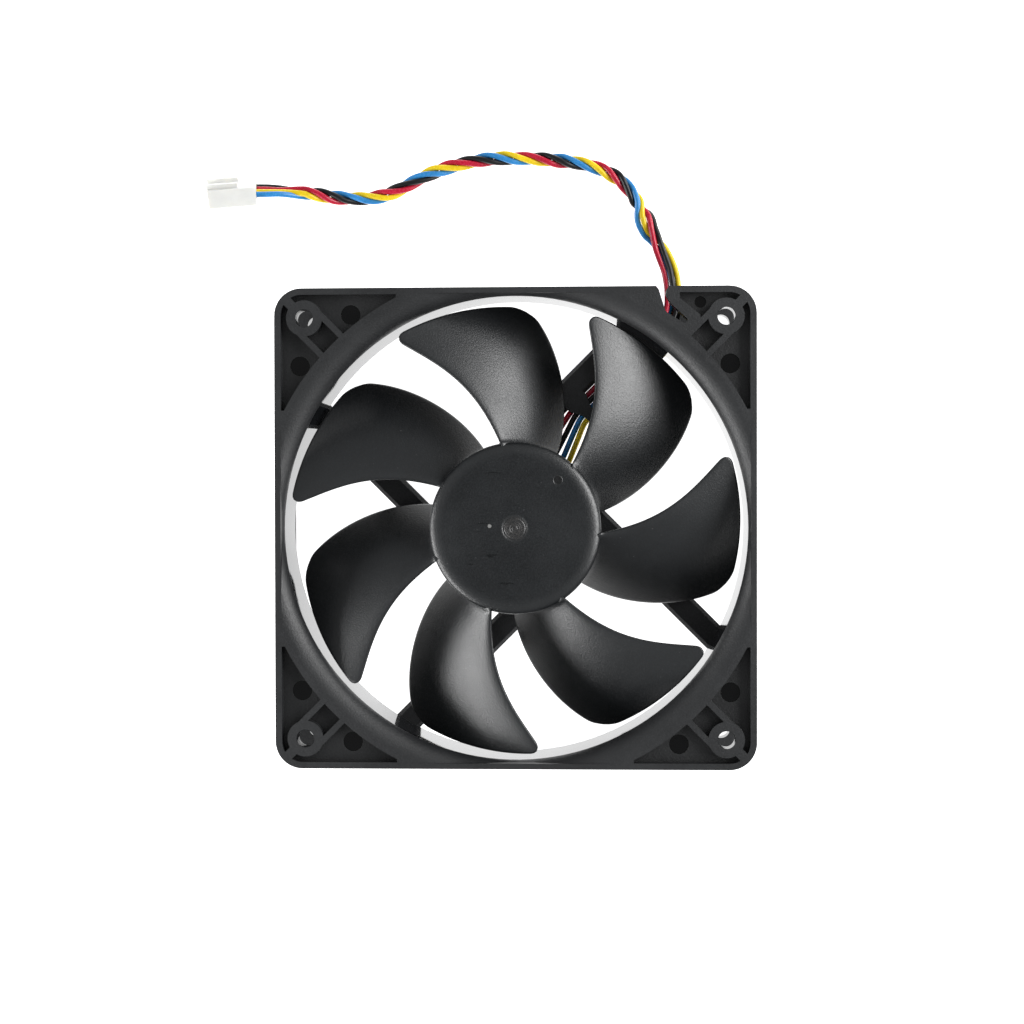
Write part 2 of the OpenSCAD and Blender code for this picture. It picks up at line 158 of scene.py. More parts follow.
def moulded_plastic(name, colour, rough, grain=0.00035, depth=0.000018, patch=0.016, dust=0.0, part=None, specular=0.5):
    """Spark-eroded moulding: fine pitted grain, soft patches of sheen and a little settled dust.

    part="frame" adds the polished bore and screw holes, pocket floors with painted
    shade for their depth and smooth ejector marks painted near-black as a painted dark
    reflection; part="impeller" adds the hub's small marking, a pale fleck and faint wipe marks.
    """
    m, nt, b = new_material(name)
    co = object_coords(nt)
    big = noise_node(nt, co, 1 / patch, 4, 0.6)
    fine = noise_node(nt, co, 1 / grain, 2, 0.6)
    base = mix_colour(nt, remap(nt, big, 0.35, 0.65, 0.0, 1.0), scaled(colour, 0.85), scaled(colour, 1.18))
    # light specks in the grain, partly painted sparkle: colour lifted at random points to stand for glints off the
    # grain
    speck_and_sparkle = remap(nt, noise_node(nt, co, 1 / (grain * 0.8), 3, 0.7), 0.52, 0.68, 0.0, 0.6)
    base = mix_colour(nt, speck_and_sparkle, base, scaled(colour, 2.6))
    if dust:
        motes = noise_node(nt, co, 1 / 0.0007, 2, 0.5)
        where = noise_node(nt, co, 1 / 0.006, 4, 0.7)
        amount = math_node(nt, "MULTIPLY", remap(nt, motes, 0.71, 0.76, 0.0, dust), remap(nt, where, 0.52, 0.6, 0.0, 1.0, True))
        base = mix_colour(nt, amount, base, (0.16, 0.16, 0.165))
    r = math_node(nt, "ADD", remap(nt, big, 0.3, 0.7, rough - 0.04, rough + 0.05), remap(nt, fine, 0.3, 0.7, -0.04, 0.06))
    height = fine
    if part == "frame":
        x, y, z = split(nt, co)
        rr = distance2(nt, x, y, 0.0, 0.0)
        bore = math_node(nt, "MULTIPLY", math_node(nt, "LESS_THAN", rr, 0.0583 ** 2), between(nt, z, 0.0045, 0.0205))
        hole = math_node(nt, "LESS_THAN", distance2(nt, math_node(nt, "ABSOLUTE", x), math_node(nt, "ABSOLUTE", y), 0.0525, 0.0525), 0.00226 ** 2)
        smooth = math_node(nt, "MAXIMUM", bore, hole)
        outside = math_node(nt, "GREATER_THAN", rr, 0.0635 ** 2)
        # painted shade: this selects the pocket floors, which are darkened to stand for the shade down in these
        # recesses
        pocket_floor_shade = math_node(nt, "MULTIPLY", between(nt, z, 0.02236, 0.0226), outside)
        # ejector discs: really smoother (roughness below), and their colour is painted near-black as a painted dark
        # reflection and shade
        pin_mark_smooth_and_shaded = math_node(nt, "MULTIPLY", between(nt, z, 0.0221, 0.02236), outside)
        # painted shade on the pocket floors (line below) and ejector discs painted near-black as a painted dark
        # reflection (next line)
        base = mix_colour(nt, pocket_floor_shade, base, mix_colour(nt, 0.5, base, scaled(colour, 0.2)))
        base = mix_colour(nt, pin_mark_smooth_and_shaded, base, scaled(colour, 0.05))
        r = blend_value(nt, smooth, r, remap(nt, fine, 0.3, 0.7, 0.05, 0.09))
        r = blend_value(nt, pin_mark_smooth_and_shaded, r, 0.26)
        height = math_node(nt, "MULTIPLY", fine, math_node(nt, "SUBTRACT", 1.0, math_node(nt, "MULTIPLY", math_node(nt, "MAXIMUM", smooth, pin_mark_smooth_and_shaded), 0.95)))
    if part == "impeller":
        x, y, z = split(nt, co)
        top = math_node(nt, "GREATER_THAN", z, 0.0236)
        ring_d = math_node(nt, "SQRT", distance2(nt, x, y, MARK_AT[0], MARK_AT[1]))
        disc = math_node(nt, "MULTIPLY", remap(nt, ring_d, 0.00105, 0.0012, 1.0, 0.0), top)
        fleck = math_node(nt, "MULTIPLY", remap(nt, math_node(nt, "ADD", distance2(nt, x, y, FLECK_AT[0], FLECK_AT[1]), math_node(nt, "MULTIPLY", math_node(nt, "SUBTRACT", fine, 0.5), 0.0000004)), 0.00038 ** 2, 0.00052 ** 2, 1.0, 0.0), top)
        gate = math_node(nt, "MULTIPLY", remap(nt, math_node(nt, "SQRT", distance2(nt, x, y, 0.0, 0.0)), 0.0024, 0.0033, 1.0, 0.0, True), top)
        turned = add(nt, "ShaderNodeMapping")
        turned.inputs["Rotation"].default_value = (0.0, 0.0, math.radians(32))
        turned.inputs["Scale"].default_value = (0.16, 1.0, 1.0)
        nt.links.new(co, turned.inputs["Vector"])
        wipe = remap(nt, noise_node(nt, turned.outputs["Vector"], 1 / 0.0011, 4, 0.6, 0.3), 0.6, 0.68, 0.0, 1.0, True)
        patchy = remap(nt, noise_node(nt, co, 1 / 0.012, 2, 0.5), 0.5, 0.62, 0.0, 1.0, True)
        wiped = math_node(nt, "MULTIPLY", math_node(nt, "MULTIPLY", wipe, patchy), top)
        base = mix_colour(nt, math_node(nt, "MULTIPLY", wiped, 0.7), base, scaled(colour, 0.35))
        base = mix_colour(nt, disc, base, scaled(colour, 0.25))
        base = mix_colour(nt, math_node(nt, "MULTIPLY", gate, remap(nt, fine, 0.35, 0.62, 0.0, 0.55)), base, (0.045, 0.04, 0.037))
        base = mix_colour(nt, math_node(nt, "MULTIPLY", fleck, 0.8), base, (0.3, 0.3, 0.29))
        r = math_node(nt, "ADD", r, math_node(nt, "MULTIPLY", wiped, -0.08))
        height = math_node(nt, "SUBTRACT", fine, math_node(nt, "MULTIPLY", disc, 1.5))
        height = math_node(nt, "ADD", height, math_node(nt, "MULTIPLY", math_node(nt, "MULTIPLY", gate, noise_node(nt, co, 1 / 0.0005, 3, 0.7)), 1.6))
    nt.links.new(base, b.inputs["Base Color"])
    nt.links.new(r, b.inputs["Roughness"])
    b.inputs["IOR"].default_value = 1.5
    b.inputs["Specular IOR Level"].default_value = specular
    bump(nt, b, height, depth)
    return m


def wire_jacket(name, colour, rough=0.24):
    """Extruded PVC: smooth with faint long draw marks and slight tone changes along it."""
    m, nt, b = new_material(name)
    co = object_coords(nt)
    tone = noise_node(nt, co, 1 / 0.004, 3, 0.55)
    base = mix_colour(nt, remap(nt, tone, 0.35, 0.65, 0.0, 1.0), scaled(colour, 0.88), scaled(colour, 1.08))
    nt.links.new(base, b.inputs["Base Color"])
    fine = noise_node(nt, co, 1 / 0.0005, 3, 0.6)
    nt.links.new(remap(nt, fine, 0.3, 0.7, rough - 0.06, rough + 0.1), b.inputs["Roughness"])
    b.inputs["IOR"].default_value = 1.48
    bump(nt, b, fine, 0.000012)
    return m


def milky_nylon(name, colour):
    """Natural nylon: light goes in and comes back out, with faint flow clouds."""
    m, nt, b = new_material(name)
    co = object_coords(nt)
    clouds = noise_node(nt, co, 1 / 0.005, 4, 0.6, 0.4)
    base = mix_colour(nt, remap(nt, clouds, 0.35, 0.65, 0.0, 1.0), scaled(colour, 0.95), scaled(colour, 1.03))
    nt.links.new(base, b.inputs["Base Color"])
    b.inputs["Subsurface Weight"].default_value = 0.4
    b.inputs["Subsurface Radius"].default_value = (1.0, 0.92, 0.8)
    b.inputs["Subsurface Scale"].default_value = 0.0007
    fine = noise_node(nt, co, 1 / 0.0004, 3, 0.6)
    nt.links.new(remap(nt, fine, 0.3, 0.7, 0.3, 0.42), b.inputs["Roughness"])
    b.inputs["IOR"].default_value = 1.53
    bump(nt, b, fine, 0.000008)
    return m


def plain_metal(name, colour, rough, streak=0.0, grain=0.0004):
    """Turned, drawn or stamped metal: tone patches, fine scratches or turning rings."""
    m, nt, b = new_material(name)
    co = object_coords(nt)
    tone = noise_node(nt, co, 1 / 0.006, 4, 0.6)
    base = mix_colour(nt, remap(nt, tone, 0.3, 0.7, 0.0, 1.0), scaled(colour, 0.85), scaled(colour, 1.1))
    nt.links.new(base, b.inputs["Base Color"])
    b.inputs["Metallic"].default_value = 1.0
    fine = noise_node(nt, co, 1 / grain, 3, 0.6)
    r = remap(nt, fine, 0.3, 0.7, rough - 0.05, rough + 0.1)
    height = fine
    if streak:
        wave = add(nt, "ShaderNodeTexWave", {"Scale": 1 / streak, "Distortion": 0.6, "Detail": 2.0}, wave_type="BANDS", bands_direction="Z")
        nt.links.new(co, wave.inputs["Vector"])
        height = math_node(nt, "ADD", math_node(nt, "MULTIPLY", wave.outputs["Fac"], 0.6), math_node(nt, "MULTIPLY", fine, 0.4))
    nt.links.new(r, b.inputs["Roughness"])
    bump(nt, b, height, 0.000008)
    return m


def board_mask(name):
    """Solder mask with faint copper tracks under it."""
    m, nt, b = new_material(name)
    co = object_coords(nt)
    cells = add(nt, "ShaderNodeTexVoronoi", {"Scale": 1 / 0.0035}, feature="DISTANCE_TO_EDGE")
    nt.links.new(co, cells.inputs["Vector"])
    tracks = remap(nt, cells.outputs["Distance"], 0.05, 0.09, 1.0, 0.0)
    tone = noise_node(nt, co, 1 / 0.006, 3, 0.5)
    base = mix_colour(nt, tracks, (0.012, 0.09, 0.035), (0.03, 0.2, 0.07))
    base = mix_colour(nt, remap(nt, tone, 0.3, 0.7, 0.0, 0.25), base, (0.01, 0.06, 0.03))
    nt.links.new(base, b.inputs["Base Color"])
    nt.links.new(remap(nt, tone, 0.3, 0.7, 0.22, 0.34), b.inputs["Roughness"])
    bump(nt, b, tracks, 0.00003)
    return m


def bound_magnet(name):
    m, nt, b = new_material(name)
    co = object_coords(nt)
    tone = noise_node(nt, co, 1 / 0.0012, 5, 0.7)
    base = mix_colour(nt, remap(nt, tone, 0.3, 0.7, 0.0, 1.0), (0.03, 0.028, 0.027), (0.085, 0.078, 0.072))
    nt.links.new(base, b.inputs["Base Color"])
    nt.links.new(remap(nt, tone, 0.3, 0.7, 0.5, 0.7), b.inputs["Roughness"])
    bump(nt, b, tone, 0.00004)
    return m


def enamelled_wire(name):
    """Wound copper seen as fine parallel turns."""
    m, nt, b = new_material(name)
    co = object_coords(nt)
    wave = add(nt, "ShaderNodeTexWave", {"Scale": 1 / 0.0016, "Distortion": 0.15, "Detail": 1.0}, wave_type="BANDS", bands_direction="Z")
    nt.links.new(co, wave.inputs["Vector"])
    tone = noise_node(nt, co, 1 / 0.002, 3, 0.6)
    base = mix_colour(nt, wave.outputs["Fac"], (0.2, 0.05, 0.015), (0.62, 0.24, 0.09))
    base = mix_colour(nt, remap(nt, tone, 0.3, 0.7, 0.0, 0.4), base, (0.5, 0.16, 0.05))
    nt.links.new(base, b.inputs["Base Color"])
    b.inputs["Metallic"].default_value = 0.85
    nt.links.new(remap(nt, tone, 0.3, 0.7, 0.25, 0.4), b.inputs["Roughness"])
    bump(nt, b, wave.outputs["Fac"], 0.0001)
    return m


def foil_label(name, colour):
    m, nt, b = new_material(name)
    co = object_coords(nt)
    fine = noise_node(nt, co, 1 / 0.0006, 3, 0.6)
    tone = noise_node(nt, co, 1 / 0.01, 3, 0.5)
    nt.links.new(mix_colour(nt, remap(nt, tone, 0.3, 0.7, 0.0, 1.0), scaled(colour, 0.93), scaled(colour, 1.04)), b.inputs["Base Color"])
    b.inputs["Metallic"].default_value = 0.35
    nt.links.new(remap(nt, fine, 0.3, 0.7, 0.34, 0.46), b.inputs["Roughness"])
    bump(nt, b, fine, 0.000006)
    return m


MARK_AT = (0.0108, 0.01203)
FLECK_AT = (-0.00628, 0.00062)
MAT = {
    "frame": moulded_plastic("frame_black", (0.0074, 0.0081, 0.0092), 0.5, 0.00042, 0.00007, part="frame", specular=0.75),
    "impeller": moulded_plastic("impeller_black", (0.0072, 0.0084, 0.0095), 0.36, 0.00042, 0.00005, 0.02, dust=0.4, part="impeller", specular=0.8),
    "label": foil_label("label_film", (0.6, 0.61, 0.62)),
    "brass": plain_metal("turned_brass", (0.78, 0.57, 0.27), 0.25, 0.0007),
    "bronze": plain_metal("sintered_bronze", (0.45, 0.29, 0.16), 0.5, 0.0, 0.00025),
    "nylon": milky_nylon("washer_nylon", (0.82, 0.8, 0.74)),
    "rubber": moulded_plastic("seal_rubber", (0.02, 0.02, 0.02), 0.7, 0.0003, 0.00001),
    "lamination": plain_metal("electrical_steel", (0.42, 0.43, 0.45), 0.38, 0.0009),
    "insulator": moulded_plastic("insulator_white", (0.72, 0.72, 0.69), 0.45, 0.0004, 0.00001),
    "copper": enamelled_wire("enamelled_copper"),
    "tin": plain_metal("tinned_metal", (0.74, 0.72, 0.66), 0.28),
    "board": board_mask("board_green"),
    "chip": moulded_plastic("chip_epoxy", (0.018, 0.018, 0.019), 0.55, 0.0002, 0.00001),
    "component": moulded_plastic("component_tan", (0.42, 0.31, 0.18), 0.5, 0.0002, 0.00001),
    "red": wire_jacket("jacket_red", (0.52, 0.011, 0.04)),
    "black": wire_jacket("jacket_black", (0.0055, 0.0055, 0.0065), 0.34),
    "blue": wire_jacket("jacket_blue", (0.034, 0.25, 0.6)),
    "yellow": wire_jacket("jacket_yellow", (0.88, 0.63, 0.014)),
    "plug": milky_nylon("plug_nylon", (0.775, 0.775, 0.745)),
    "yoke": plain_metal("drawn_steel", (0.5, 0.51, 0.53), 0.34, 0.0011),
    "magnet": bound_magnet("bonded_magnet"),
    "shaft": plain_metal("ground_steel", (0.72, 0.73, 0.75), 0.14, 0.0005),
}


# ---------------------------------------------------------------- mesh helpers
def mesh_object(name, verts, faces, materials, face_slots=None, smooth=True):
    me = bpy.data.meshes.new(name)
    me.from_pydata([tuple(v) for v in verts], [], faces)
    for m in materials:
        me.materials.append(m)
    if face_slots:
        me.polygons.foreach_set("material_index", face_slots)
    me.polygons.foreach_set("use_smooth", [smooth] * len(me.polygons))
    me.validate()
    me.update()
    o = bpy.data.objects.new(name, me)
    scene.collection.objects.link(o)
    return o


def catmull(points, step):
    """Points every `step` along one smooth curve through `points`, with the arc length of each."""
    p = [Vector(q) for q in points]
    n = len(p)
    dense, total = [p[0].copy()], [0.0]
    for i in range(n - 1):
        p0, p1, p2, p3 = p[max(i - 1, 0)], p[i], p[i + 1], p[min(i + 2, n - 1)]
        for k in range(1, 33):
            u = k / 32
            q = 0.5 * (2 * p1 + (p2 - p0) * u + (2 * p0 - 5 * p1 + 4 * p2 - p3) * u * u + (3 * p1 - p0 - 3 * p2 + p3) * u ** 3)
            total.append(total[-1] + (q - dense[-1]).length)
            dense.append(q)
    count = max(2, round(total[-1] / step))
    out, s_out, j = [], [], 0
    for k in range(count + 1):
        s = total[-1] * k / count
        while j < len(total) - 2 and total[j + 1] < s:
            j += 1
        u = (s - total[j]) / max(1e-12, total[j + 1] - total[j])
        out.append(dense[j].lerp(dense[j + 1], min(1.0, max(0.0, u))))
        s_out.append(s)
    return out, s_out


def side_and_up(points, i):
    t = (points[min(i + 1, len(points) - 1)] - points[max(i - 1, 0)]).normalized()
    a = t.cross(Vector((0, 0, 1))).normalized()
    return t, a, a.cross(t)


def tube(line, radius, sides, verts, faces, round_ends=True):
    """Adds a closed tube along `line`, its ends drawn in to a small rounded cut."""
    start = len(verts)
    frames = [side_and_up(line, i) for i in range(len(line))]
    rows = []
    if round_ends:
        t = frames[0][0]
        rows.append((line[0] - t * radius * 0.0, frames[0], radius * 0.9))
    for i, q in enumerate(line):
        if round_ends and i == 0:
            rows.append((q + frames[0][0] * radius * 0.1, frames[0], radius))
            continue
        if round_ends and i == len(line) - 1:
            rows.append((q - frames[i][0] * radius * 0.1, frames[i], radius))
            continue
        rows.append((q, frames[i], radius))
    if round_ends:
        rows.append((line[-1], frames[-1], radius * 0.9))
    for q, (t, a, b), r in rows:
        for j in range(sides):
            w = 2 * PI * j / sides
            verts.append(q + a * (r * math.cos(w)) + b * (r * math.sin(w)))
    m = len(rows)
    for i in range(m - 1):
        for j in range(sides):
            k = (j + 1) % sides
            faces.append((start + i * sides + j, start + i * sides + k, start + (i + 1) * sides + k, start + (i + 1) * sides + j))
    faces.append(tuple(start + j for j in reversed(range(sides))))
    faces.append(tuple(start + (m - 1) * sides + j for j in range(sides)))


def sequence(stations, s):
    """Smooth values between stations [(s, (a, b)), ...]."""
    if s <= stations[0][0]:
        return stations[0][1]
    for i in range(len(stations) - 1):
        s0, v0 = stations[i]
        s1, v1 = stations[i + 1]
        if s <= s1:
            u = (s - s0) / (s1 - s0)
            pv = stations[max(i - 1, 0)]
            nx = stations[min(i + 2, len(stations) - 1)]
            out = []
            for c in range(len(v0)):
                m0 = (v1[c] - pv[1][c]) / max(1e-9, s1 - pv[0]) * (s1 - s0)
                m1 = (nx[1][c] - v0[c]) / max(1e-9, nx[0] - s0) * (s1 - s0)
                out.append((2 * u ** 3 - 3 * u * u + 1) * v0[c] + (u ** 3 - 2 * u * u + u) * m0 + (3 * u * u - 2 * u ** 3) * v1[c] + (u ** 3 - u * u) * m1)
            return tuple(out)
    return stations[-1][1]


# ---------------------------------------------------------------- lead
LEAD_ROUTE = [
    (36.2, 50.1, 2.65), (38.1, 52, 2.65), (39.5, 54.3, 2.65), (40.2, 57, 2.65),
    (40.3, 60, 2.65), (40.1, 63, 2.4), (39.4, 66.5, 2.1), (38, 70, 1.9), (36.3, 73.6, 1.9),
    (34.4, 77.4, 1.9), (32.6, 81.2, 1.9), (30.5, 85.3, 1.9), (27.6, 89.1, 1.9),
    (24, 91.7, 1.9), (19.6, 93.6, 1.9), (14.7, 94.7, 1.9), (9.7, 95.3, 1.9),
    (4.8, 95.7, 1.9), (-0.3, 95.9, 1.9), (-5.4, 95.9, 1.9), (-10.3, 95.4, 1.9),
    (-15.3, 94.4, 1.9), (-20.6, 92.9, 1.9), (-25.2, 91, 1.9), (-29.4, 88.8, 1.9),
    (-33.6, 86.9, 1.9), (-38.4, 85.9, 1.9), (-43.4, 85.8, 2.1), (-48.3, 86.1, 2.8),
    (-53.2, 86.8, 3.8), (-60.4, 87.4, 5), (-67.9, 87.55, 5.65), (-70.05, 87.36, 5.87)]

# Where each wire lies in the bundle, across the lead and up, in mm, by the
# length along it: loose at the frame, then a right-handed twist, then a row.
TOPS = [37.3, 42.9, 47.2, 51.9, 56.9, 61.6, 66.6, 71.6, 76.7, 81.7, 86.5, 91.5,
        96.1, 101.2, 106.3, 111.2, 116.1, 121.2, 126.0, 130.8]
ROW = (0.43, -0.9)
STRANDS = {
    "black": (3, [(0, (-0.02, 1.05)), (4, (0.85, 0.9)), (8.5, (0.85, 0.9)), (13, (0.05, 0.85)), (17.7, (0.1, 0.82)), (23.6, (0.5, 0.75)), (26.7, (0.95, 0.5)), (29, (1.25, 0.1)), (33.2, (1.65, -0.75))]),
    "red": (0, [(0, (-1.17, -0.05)), (4, (-1.42, 0.38)), (8.5, (-1.5, 0.2)), (17.7, (-1.5, 0.2)), (23.6, (-1.25, 0.55)), (26.7, (-0.6, 0.95)), (29, (0, 1.06)), (33.2, (0.95, 0.55))]),
    "yellow": (1, [(0, (1.38, 0.15)), (4, (0.95, -0.62)), (8.5, (1, -0.62)), (12.5, (1.45, 0)), (17.7, (1.55, -0.15)), (23.6, (1.35, -0.6)), (26.7, (0.2, -0.65)), (29, (-0.8, -0.25)), (33.2, (-0.55, 0.85))]),
    "blue": (2, [(0, (0.03, -1.08)), (4, (-0.6, -0.8)), (8.5, (-0.6, -0.8)), (12.5, (0, -0.8)), (17.7, (-0.05, -0.78)), (23.6, (-0.4, -0.8)), (26.7, (-1.3, -0.6)), (29, (-2.1, -0.6)), (33.2, (-2.05, 0.0))]),
}
ROW_PLACE = {"black": 3.4, "red": 1.18, "yellow": -1.18, "blue": -3.4}


def turns_at(s):
    """Quarter turns made by the bundle at s, counted from blue on top."""
    k = 0
    while k < len(TOPS) - 2 and s > TOPS[k + 1]:
        k += 1
    return 2 + k + (s - TOPS[k]) / (TOPS[k + 1] - TOPS[k])


def strand_offset(name, s):
    order, opening = STRANDS[name]
    twist_start, twist_end = TOPS[0], TOPS[-1]
    def helix(at):
        w = PI / 2 - (turns_at(at) - order) * PI / 2
        loose = 1.1 + 0.07 * math.sin(0.41 * at + 1.3) + 0.05 * math.sin(0.93 * at + order)
        return (loose * math.cos(w), loose * math.sin(w))
    if s < twist_start + 1.5:
        return sequence(opening + [(twist_start, helix(twist_start)), (twist_start + 3, helix(twist_start + 3))], s)
    if s <= twist_end - 1.5:
        return helix(s)
    k = ROW_PLACE[name]
    row = (ROW[0] * k, ROW[1] * k)
    near = (ROW[0] * k * 0.8, ROW[1] * k * 0.8)
    return sequence([(twist_end - 3, helix(twist_end - 3)), (twist_end - 1, helix(twist_end - 1)), (136.2, near), (140, row), (150, row)], s)


line, arc = catmull([Vector(p) for p in LEAD_ROUTE], 0.55)
verts, faces, slots = [], [], []
for index, name in enumerate(("black", "red", "yellow", "blue")):
    strand = []
    for i, q in enumerate(line):
        t, a, b = side_and_up(line, i)
        x, y = strand_offset(name, arc[i])
        strand.append((q + a * x + b * y) * MM)
    before = len(faces)
    tube(strand, 0.74 * MM, 16, verts, faces)
    slots += [index] * (len(faces) - before)
lead = mesh_object("twisted_lead", verts, faces, [MAT["black"], MAT["red"], MAT["yellow"], MAT["blue"]], slots)
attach(lead, "housing")
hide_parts("lead_bundle")

LEAD_ENDS = {
    "red": [(12, 5.6, 3.65), (15.5, 7.6, 3.65), (19.5, 8.9, 3.6), (25, 10.1, 2.9), (30.6, 11.3, 2), (33, 11.4, 1.8), (39, 11.4, 1.8), (45, 11.4, 1.8), (51, 11.4, 1.8), (55, 11.4, 1.8), (58.4, 11.4, 1.8), (59.7, 11.4, 2), (61.1, 11, 2.6)],
    "black": [(13.6, 3.4, 3.65), (17, 5.4, 3.65), (20.5, 6.5, 3.6), (25.5, 8.1, 3), (30.4, 9.7, 2.25), (33, 9.9, 2.2), (39, 9.9, 2.2), (45, 9.9, 2.2), (51, 9.9, 2.2), (55, 9.9, 2.2), (58.4, 9.9, 2.2), (61.1, 9.85, 3.7)],
    "blue": [(14.6, 1.2, 3.65), (17.8, 3.2, 3.65), (21.8, 4.7, 3.6), (26, 6.4, 2.9), (30.8, 8.2, 2), (33, 8.4, 1.8), (39, 8.4, 1.8), (45, 8.4, 1.8), (51, 8.4, 1.8), (55, 8.4, 1.8), (58.4, 8.4, 1.75), (59.2, 8.6, 1.6), (61.1, 9.8, 1.57)],
    "yellow": [(15, -1.2, 3.65), (18.2, 1.2, 3.65), (22.2, 2.95, 3.6), (26.5, 4.8, 2.95), (30.8, 6.6, 2.25), (33.5, 6.9, 2.2), (39, 6.9, 2.2), (45, 6.9, 2.2), (51, 6.9, 2.2), (55, 6.9, 2.2), (58.4, 6.9, 2.3), (59.7, 7.4, 2.6), (61.1, 8.45, 2.8)],
}
R2 = math.sqrt(0.5)
for name, pts in LEAD_ENDS.items():
    path, _ = catmull([Vector(((x - y) * R2, (x + y) * R2, z)) for x, y, z in pts], 0.8)
    v, f = [], []
    tube([q * MM for q in path], 0.745 * MM, 14, v, f)
    o = mesh_object("inner_lead_" + name, v, f, [MAT[name]])
    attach(o, "housing")
    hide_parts("lead_" + name)


# ---------------------------------------------------------------- impeller
HUB_R, TIP_R, HUB_TOP, HUB_BOTTOM, HUB_WALL, HUB_CEIL = 21.5, 56.7, 24.3, 7.0, 19.75, 22.5


def lead_angle(r):
    u = (r - 40) / 16
    return 8.7 + 11.5 * u + 1.4 * u * u - u ** 3 - u ** 4


def trail_angle(r):
    u = (r - 40) / 16
    return -29.4 + 11.8 * u + 0.6 * u * u + 0.2 * u ** 3 + 0.6 * u ** 4


def edge_r(s):
    a = max(0.0, 1 - s / 0.09)
    b = max(0.0, (s - 0.87) / 0.13)
    return TIP_R - 3.2 * (1 - math.sqrt(max(0.0, 1 - a * a))) - 3.8 * (1 - math.sqrt(max(0.0, 1 - b * b)))


def half_thickness(r, s):
    t = 2.2 + (1.3 - 2.2) * (r - HUB_R) / 35
    t *= (0.55 + 0.45 * math.sqrt(max(0.0, 1 - (1 - min(s, 0.12) / 0.12) ** 2))) * (1 - 0.5 * max(0.0, (s - 0.5) / 0.5) ** 2)
    return 0.6 * t + 0.55 * math.exp(-max(0.0, r - HUB_R) / 0.55)


def spaced(length, round_len, inner):
    """Positions 0..1 with a fine rounded start and end."""
    edge = [round_len * (1 - math.cos(math.radians(15 * k))) / length for k in range(7)]
    mid = [edge[-1] + (1 - 2 * edge[-1]) * k / inner for k in range(1, inner)]
    return edge + mid + [1 - e for e in reversed(edge)]


def blade(angle, verts, faces):
    ss = spaced(30.0, 0.42, 40)
    ff = [k / 8 * 0.06 for k in range(8)] + [0.06 + 0.94 * (1 - (1 - k / 28) ** 1.15) for k in range(29)]
    span = TIP_R - 20.6
    tail = [1 - 0.42 * (1 - math.cos(math.radians(15 * k))) / span for k in range(6, -1, -1)]
    ff = [f for f in ff if f < tail[0] - 0.004] + tail
    m, n = len(ss), len(ff)
    start = len(verts)
    index = {}
    for side in (1, -1):
        for i, s in enumerate(ss):
            for j, f in enumerate(ff):
                on_edge = i in (0, m - 1) or j == n - 1
                if side < 0 and on_edge:
                    index[(side, i, j)] = index[(1, i, j)]
                    continue
                r = 20.6 + (edge_r(s) - 20.6) * f
                chord = 30.0
                d = min(s * chord, (1 - s) * chord, (1 - f) * span)
                k = math.sqrt(max(0.0, 1 - (1 - min(d / 0.42, 1.0)) ** 2))
                h = half_thickness(r, s) * k
                w = math.radians(angle + lead_angle(r) + (trail_angle(r) - lead_angle(r)) * s)
                lz = 22.3 + 0.4 * (r - HUB_R) / 35
                tz = 7.8 - 2 * (r - HUB_R) / 35
                z = lz + (tz - lz) * (s - 0.34 * s * (1 - s)) + side * h
                index[(side, i, j)] = len(verts)
                verts.append(Vector((r * math.cos(w), r * math.sin(w), z)) * MM)
    for side in (1, -1):
        for i in range(m - 1):
            for j in range(n - 1):
                q = [index[(side, i, j)], index[(side, i, j + 1)], index[(side, i + 1, j + 1)], index[(side, i + 1, j)]]
                if side < 0:
                    q.reverse()
                q = [x for x, y in zip(q, q[1:] + q[:1]) if x != y]
                if len(q) > 2:
                    faces.append(tuple(q))
    root = [index[(1, i, 0)] for i in range(m)] + [index[(-1, i, 0)] for i in range(m - 2, 0, -1)]
    faces.append(tuple(root))


def arc_points(cx, cz, r, a0, a1, count):
    return [(cx + r * math.cos(math.radians(a0 + (a1 - a0) * k / count)), cz + r * math.sin(math.radians(a0 + (a1 - a0) * k / count))) for k in range(count + 1)]


verts, faces = [], []
hub = [(HUB_WALL, HUB_BOTTOM + 0.25), (HUB_WALL + 0.25, HUB_BOTTOM), (HUB_R - 0.3, HUB_BOTTOM), (HUB_R, HUB_BOTTOM + 0.3), (HUB_R, 12.0), (HUB_R, 18.0)]
hub += [(HUB_R - 3.8 + 3.8 * math.cos(math.radians(6 * k)), HUB_TOP - 1.8 + 1.8 * math.sin(math.radians(6 * k))) for k in range(16)]
hub += [(17.55, HUB_TOP), (17.4, HUB_TOP - 0.02), (12.0, HUB_TOP - 0.02), (7.0, HUB_TOP - 0.02), (3.6, HUB_TOP - 0.02),
        (3.15, HUB_TOP - 0.03), (3.02, HUB_TOP - 0.16), (2.8, HUB_TOP - 0.22), (2.6, HUB_TOP - 0.16), (2.45, HUB_TOP - 0.04), (2.1, HUB_TOP - 0.03),
        (1.98, HUB_TOP - 0.1), (1.82, HUB_TOP - 0.1), (1.7, HUB_TOP - 0.03), (1.3, HUB_TOP - 0.05), (1.1, HUB_TOP - 0.2), (0.85, HUB_TOP - 0.24),
        (0.65, HUB_TOP - 0.05), (0.45, HUB_TOP), (0.0, HUB_TOP),
        (0.0, HUB_CEIL), (8.0, HUB_CEIL), (HUB_WALL - 0.2, HUB_CEIL), (HUB_WALL, HUB_CEIL - 0.2), (HUB_WALL, 15.0)]
hub_open = hub[:]
# the profile runs outside, over the top to the axis, then back under the ceiling
top_axis = next(i for i, (r, z) in enumerate(hub_open) if r == 0.0)
rows_out = hub_open[:top_axis + 1]
rows_in = hub_open[top_axis + 1:]


